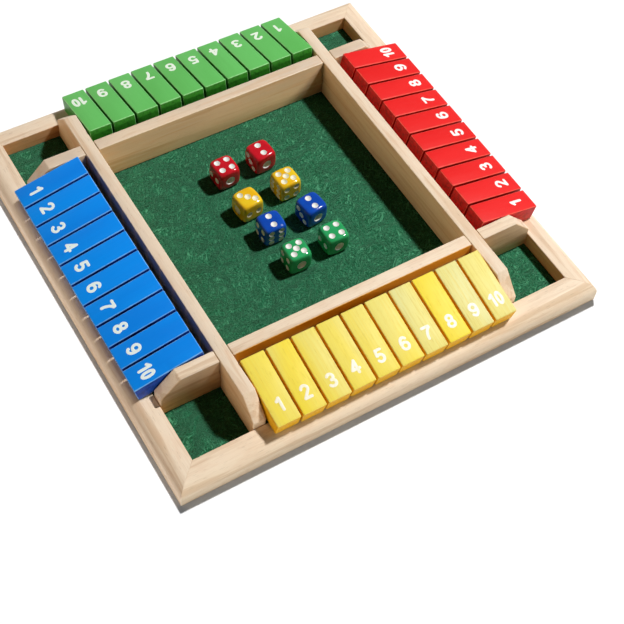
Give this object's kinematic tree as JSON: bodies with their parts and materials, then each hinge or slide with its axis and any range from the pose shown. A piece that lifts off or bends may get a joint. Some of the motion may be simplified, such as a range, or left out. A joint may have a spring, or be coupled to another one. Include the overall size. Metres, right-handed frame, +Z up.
{
  "type": "shut the box game",
  "caption": "Shut the box game: square wooden tray with felt floor, lapped divider boards, rows of hinged number tiles on rods along each side, corner wells and loose dice.",
  "frame": {"origin": "middle of the tray's underside, on the table", "axes": "+Z up out of the tray; the yellow row is on the -Y side, blue on -X, green on +Y and red on +X; each row reads from its player's left"},
  "size_m": [0.3, 0.3, 0.0373],
  "materials": {
    "pale_wood": "sanded and clear lacquered pale wood, satin",
    "base_wood": "bare thin board",
    "green_felt": "short napped felt",
    "rod_steel": "bare drawn rod",
    "yellow_tile_paint": "yellow stained wood under satin lacquer, grain showing",
    "blue_tile_paint": "satin paint over wood",
    "green_tile_paint": "satin paint over wood",
    "red_tile_paint": "satin paint over wood",
    "number_white": "white paint in the numbers, satin",
    "red_dice_plastic": "polished",
    "yellow_dice_plastic": "polished",
    "blue_dice_plastic": "polished",
    "green_dice_plastic": "polished"
  },
  "bodies": {
    "tray": {"rail_frame": "pale_wood", "base_board": "base_wood", "felt_lining": "green_felt", "front_divider": "pale_wood", "left_divider": "pale_wood", "back_divider": "pale_wood", "right_divider": "pale_wood", "front_rod": "rod_steel", "left_rod": "rod_steel", "back_rod": "rod_steel", "right_rod": "rod_steel"},
    "die_red_a": {"die_red_a": "red_dice_plastic"},
    "die_red_b": {"die_red_b": "red_dice_plastic"},
    "die_yellow_a": {"die_yellow_a": "yellow_dice_plastic"},
    "die_yellow_b": {"die_yellow_b": "yellow_dice_plastic"},
    "die_blue_a": {"die_blue_a": "blue_dice_plastic"},
    "die_blue_b": {"die_blue_b": "blue_dice_plastic"},
    "die_green_a": {"die_green_a": "green_dice_plastic"},
    "die_green_b": {"die_green_b": "green_dice_plastic"},
    "tile_yellow_1": {"tile_yellow_1": "yellow_tile_paint"},
    "tile_blue_1": {"tile_blue_1": "blue_tile_paint"},
    "tile_green_1": {"tile_green_1": "green_tile_paint"},
    "tile_red_1": {"tile_red_1": "red_tile_paint"},
    "tile_yellow_2": {"tile_yellow_2": "yellow_tile_paint"},
    "tile_blue_2": {"tile_blue_2": "blue_tile_paint"},
    "tile_green_2": {"tile_green_2": "green_tile_paint"},
    "tile_red_2": {"tile_red_2": "red_tile_paint"},
    "tile_yellow_3": {"tile_yellow_3": "yellow_tile_paint"},
    "tile_blue_3": {"tile_blue_3": "blue_tile_paint"},
    "tile_green_3": {"tile_green_3": "green_tile_paint"},
    "tile_red_3": {"tile_red_3": "red_tile_paint"},
    "tile_yellow_4": {"tile_yellow_4": "yellow_tile_paint"},
    "tile_blue_4": {"tile_blue_4": "blue_tile_paint"},
    "tile_green_4": {"tile_green_4": "green_tile_paint"},
    "tile_red_4": {"tile_red_4": "red_tile_paint"},
    "tile_yellow_5": {"tile_yellow_5": "yellow_tile_paint"},
    "tile_blue_5": {"tile_blue_5": "blue_tile_paint"},
    "tile_green_5": {"tile_green_5": "green_tile_paint"},
    "tile_red_5": {"tile_red_5": "red_tile_paint"},
    "tile_yellow_6": {"tile_yellow_6": "yellow_tile_paint"},
    "tile_blue_6": {"tile_blue_6": "blue_tile_paint"},
    "tile_green_6": {"tile_green_6": "green_tile_paint"},
    "tile_red_6": {"tile_red_6": "red_tile_paint"},
    "tile_yellow_7": {"tile_yellow_7": "yellow_tile_paint"},
    "tile_blue_7": {"tile_blue_7": "blue_tile_paint"},
    "tile_green_7": {"tile_green_7": "green_tile_paint"},
    "tile_red_7": {"tile_red_7": "red_tile_paint"},
    "tile_yellow_8": {"tile_yellow_8": "yellow_tile_paint"},
    "tile_blue_8": {"tile_blue_8": "blue_tile_paint"},
    "tile_green_8": {"tile_green_8": "green_tile_paint"},
    "tile_red_8": {"tile_red_8": "red_tile_paint"},
    "tile_yellow_9": {"tile_yellow_9": "yellow_tile_paint"},
    "tile_blue_9": {"tile_blue_9": "blue_tile_paint"},
    "tile_green_9": {"tile_green_9": "green_tile_paint"},
    "tile_red_9": {"tile_red_9": "red_tile_paint"},
    "tile_yellow_10": {"tile_yellow_10": "yellow_tile_paint"},
    "tile_blue_10": {"tile_blue_10": "blue_tile_paint"},
    "tile_green_10": {"tile_green_10": "green_tile_paint"},
    "tile_red_10": {"tile_red_10": "red_tile_paint"}
  },
  "joints": [
    {"name": "die_red_a_lift", "type": "slide", "parent": "tray", "child": "die_red_a", "axis": [0, 0, 1], "range_m": [0, 0.06]},
    {"name": "die_red_b_lift", "type": "slide", "parent": "tray", "child": "die_red_b", "axis": [0, 0, 1], "range_m": [0, 0.06]},
    {"name": "die_yellow_a_lift", "type": "slide", "parent": "tray", "child": "die_yellow_a", "axis": [0, 0, 1], "range_m": [0, 0.06]},
    {"name": "die_yellow_b_lift", "type": "slide", "parent": "tray", "child": "die_yellow_b", "axis": [0, 0, 1], "range_m": [0, 0.06]},
    {"name": "die_blue_a_lift", "type": "slide", "parent": "tray", "child": "die_blue_a", "axis": [0, 0, 1], "range_m": [0, 0.06]},
    {"name": "die_blue_b_lift", "type": "slide", "parent": "tray", "child": "die_blue_b", "axis": [0, 0, 1], "range_m": [0, 0.06]},
    {"name": "die_green_a_lift", "type": "slide", "parent": "tray", "child": "die_green_a", "axis": [0, 0, 1], "range_m": [0, 0.06]},
    {"name": "die_green_b_lift", "type": "slide", "parent": "tray", "child": "die_green_b", "axis": [0, 0, 1], "range_m": [0, 0.06]},
    {"name": "flip_yellow_1", "type": "hinge", "parent": "tray", "child": "tile_yellow_1", "pos_m": [-0.07699, -0.10429, 0.0287], "axis": [-1, 0, 0], "range_deg": [0, 116.7]},
    {"name": "flip_blue_1", "type": "hinge", "parent": "tray", "child": "tile_blue_1", "pos_m": [-0.10429, 0.07699, 0.0287], "axis": [0, 1, 0], "range_deg": [0, 116.7]},
    {"name": "flip_green_1", "type": "hinge", "parent": "tray", "child": "tile_green_1", "pos_m": [0.07699, 0.10429, 0.0287], "axis": [1, 0, 0], "range_deg": [0, 116.7]},
    {"name": "flip_red_1", "type": "hinge", "parent": "tray", "child": "tile_red_1", "pos_m": [0.10429, -0.07699, 0.0287], "axis": [0, -1, 0], "range_deg": [0, 116.7]},
    {"name": "flip_yellow_2", "type": "hinge", "parent": "tray", "child": "tile_yellow_2", "pos_m": [-0.05989, -0.10429, 0.0287], "axis": [-1, 0, 0], "range_deg": [0, 116.7]},
    {"name": "flip_blue_2", "type": "hinge", "parent": "tray", "child": "tile_blue_2", "pos_m": [-0.10429, 0.05989, 0.0287], "axis": [0, 1, 0], "range_deg": [0, 116.7]},
    {"name": "flip_green_2", "type": "hinge", "parent": "tray", "child": "tile_green_2", "pos_m": [0.05989, 0.10429, 0.0287], "axis": [1, 0, 0], "range_deg": [0, 116.7]},
    {"name": "flip_red_2", "type": "hinge", "parent": "tray", "child": "tile_red_2", "pos_m": [0.10429, -0.05989, 0.0287], "axis": [0, -1, 0], "range_deg": [0, 116.7]},
    {"name": "flip_yellow_3", "type": "hinge", "parent": "tray", "child": "tile_yellow_3", "pos_m": [-0.04278, -0.10429, 0.0287], "axis": [-1, 0, 0], "range_deg": [0, 116.7]},
    {"name": "flip_blue_3", "type": "hinge", "parent": "tray", "child": "tile_blue_3", "pos_m": [-0.10429, 0.04278, 0.0287], "axis": [0, 1, 0], "range_deg": [0, 116.7]},
    {"name": "flip_green_3", "type": "hinge", "parent": "tray", "child": "tile_green_3", "pos_m": [0.04278, 0.10429, 0.0287], "axis": [1, 0, 0], "range_deg": [0, 116.7]},
    {"name": "flip_red_3", "type": "hinge", "parent": "tray", "child": "tile_red_3", "pos_m": [0.10429, -0.04278, 0.0287], "axis": [0, -1, 0], "range_deg": [0, 116.7]},
    {"name": "flip_yellow_4", "type": "hinge", "parent": "tray", "child": "tile_yellow_4", "pos_m": [-0.02567, -0.10429, 0.0287], "axis": [-1, 0, 0], "range_deg": [0, 116.7]},
    {"name": "flip_blue_4", "type": "hinge", "parent": "tray", "child": "tile_blue_4", "pos_m": [-0.10429, 0.02567, 0.0287], "axis": [0, 1, 0], "range_deg": [0, 116.7]},
    {"name": "flip_green_4", "type": "hinge", "parent": "tray", "child": "tile_green_4", "pos_m": [0.02567, 0.10429, 0.0287], "axis": [1, 0, 0], "range_deg": [0, 116.7]},
    {"name": "flip_red_4", "type": "hinge", "parent": "tray", "child": "tile_red_4", "pos_m": [0.10429, -0.02567, 0.0287], "axis": [0, -1, 0], "range_deg": [0, 116.7]},
    {"name": "flip_yellow_5", "type": "hinge", "parent": "tray", "child": "tile_yellow_5", "pos_m": [-0.00856, -0.10429, 0.0287], "axis": [-1, 0, 0], "range_deg": [0, 116.7]},
    {"name": "flip_blue_5", "type": "hinge", "parent": "tray", "child": "tile_blue_5", "pos_m": [-0.10429, 0.00856, 0.0287], "axis": [0, 1, 0], "range_deg": [0, 116.7]},
    {"name": "flip_green_5", "type": "hinge", "parent": "tray", "child": "tile_green_5", "pos_m": [0.00856, 0.10429, 0.0287], "axis": [1, 0, 0], "range_deg": [0, 116.7]},
    {"name": "flip_red_5", "type": "hinge", "parent": "tray", "child": "tile_red_5", "pos_m": [0.10429, -0.00856, 0.0287], "axis": [0, -1, 0], "range_deg": [0, 116.7]},
    {"name": "flip_yellow_6", "type": "hinge", "parent": "tray", "child": "tile_yellow_6", "pos_m": [0.00856, -0.10429, 0.0287], "axis": [-1, 0, 0], "range_deg": [0, 116.7]},
    {"name": "flip_blue_6", "type": "hinge", "parent": "tray", "child": "tile_blue_6", "pos_m": [-0.10429, -0.00856, 0.0287], "axis": [0, 1, 0], "range_deg": [0, 116.7]},
    {"name": "flip_green_6", "type": "hinge", "parent": "tray", "child": "tile_green_6", "pos_m": [-0.00856, 0.10429, 0.0287], "axis": [1, 0, 0], "range_deg": [0, 116.7]},
    {"name": "flip_red_6", "type": "hinge", "parent": "tray", "child": "tile_red_6", "pos_m": [0.10429, 0.00856, 0.0287], "axis": [0, -1, 0], "range_deg": [0, 116.7]},
    {"name": "flip_yellow_7", "type": "hinge", "parent": "tray", "child": "tile_yellow_7", "pos_m": [0.02567, -0.10429, 0.0287], "axis": [-1, 0, 0], "range_deg": [0, 116.7]},
    {"name": "flip_blue_7", "type": "hinge", "parent": "tray", "child": "tile_blue_7", "pos_m": [-0.10429, -0.02567, 0.0287], "axis": [0, 1, 0], "range_deg": [0, 116.7]},
    {"name": "flip_green_7", "type": "hinge", "parent": "tray", "child": "tile_green_7", "pos_m": [-0.02567, 0.10429, 0.0287], "axis": [1, 0, 0], "range_deg": [0, 116.7]},
    {"name": "flip_red_7", "type": "hinge", "parent": "tray", "child": "tile_red_7", "pos_m": [0.10429, 0.02567, 0.0287], "axis": [0, -1, 0], "range_deg": [0, 116.7]},
    {"name": "flip_yellow_8", "type": "hinge", "parent": "tray", "child": "tile_yellow_8", "pos_m": [0.04278, -0.10429, 0.0287], "axis": [-1, 0, 0], "range_deg": [0, 116.7]},
    {"name": "flip_blue_8", "type": "hinge", "parent": "tray", "child": "tile_blue_8", "pos_m": [-0.10429, -0.04278, 0.0287], "axis": [0, 1, 0], "range_deg": [0, 116.7]},
    {"name": "flip_green_8", "type": "hinge", "parent": "tray", "child": "tile_green_8", "pos_m": [-0.04278, 0.10429, 0.0287], "axis": [1, 0, 0], "range_deg": [0, 116.7]},
    {"name": "flip_red_8", "type": "hinge", "parent": "tray", "child": "tile_red_8", "pos_m": [0.10429, 0.04278, 0.0287], "axis": [0, -1, 0], "range_deg": [0, 116.7]},
    {"name": "flip_yellow_9", "type": "hinge", "parent": "tray", "child": "tile_yellow_9", "pos_m": [0.05989, -0.10429, 0.0287], "axis": [-1, 0, 0], "range_deg": [0, 116.7]},
    {"name": "flip_blue_9", "type": "hinge", "parent": "tray", "child": "tile_blue_9", "pos_m": [-0.10429, -0.05989, 0.0287], "axis": [0, 1, 0], "range_deg": [0, 116.7]},
    {"name": "flip_green_9", "type": "hinge", "parent": "tray", "child": "tile_green_9", "pos_m": [-0.05989, 0.10429, 0.0287], "axis": [1, 0, 0], "range_deg": [0, 116.7]},
    {"name": "flip_red_9", "type": "hinge", "parent": "tray", "child": "tile_red_9", "pos_m": [0.10429, 0.05989, 0.0287], "axis": [0, -1, 0], "range_deg": [0, 116.7]},
    {"name": "flip_yellow_10", "type": "hinge", "parent": "tray", "child": "tile_yellow_10", "pos_m": [0.07699, -0.10429, 0.0287], "axis": [-1, 0, 0], "range_deg": [0, 116.7]},
    {"name": "flip_blue_10", "type": "hinge", "parent": "tray", "child": "tile_blue_10", "pos_m": [-0.10429, -0.07699, 0.0287], "axis": [0, 1, 0], "range_deg": [0, 116.7]},
    {"name": "flip_green_10", "type": "hinge", "parent": "tray", "child": "tile_green_10", "pos_m": [-0.07699, 0.10429, 0.0287], "axis": [1, 0, 0], "range_deg": [0, 116.7]},
    {"name": "flip_red_10", "type": "hinge", "parent": "tray", "child": "tile_red_10", "pos_m": [0.10429, 0.07699, 0.0287], "axis": [0, -1, 0], "range_deg": [0, 116.7]}
  ]
}
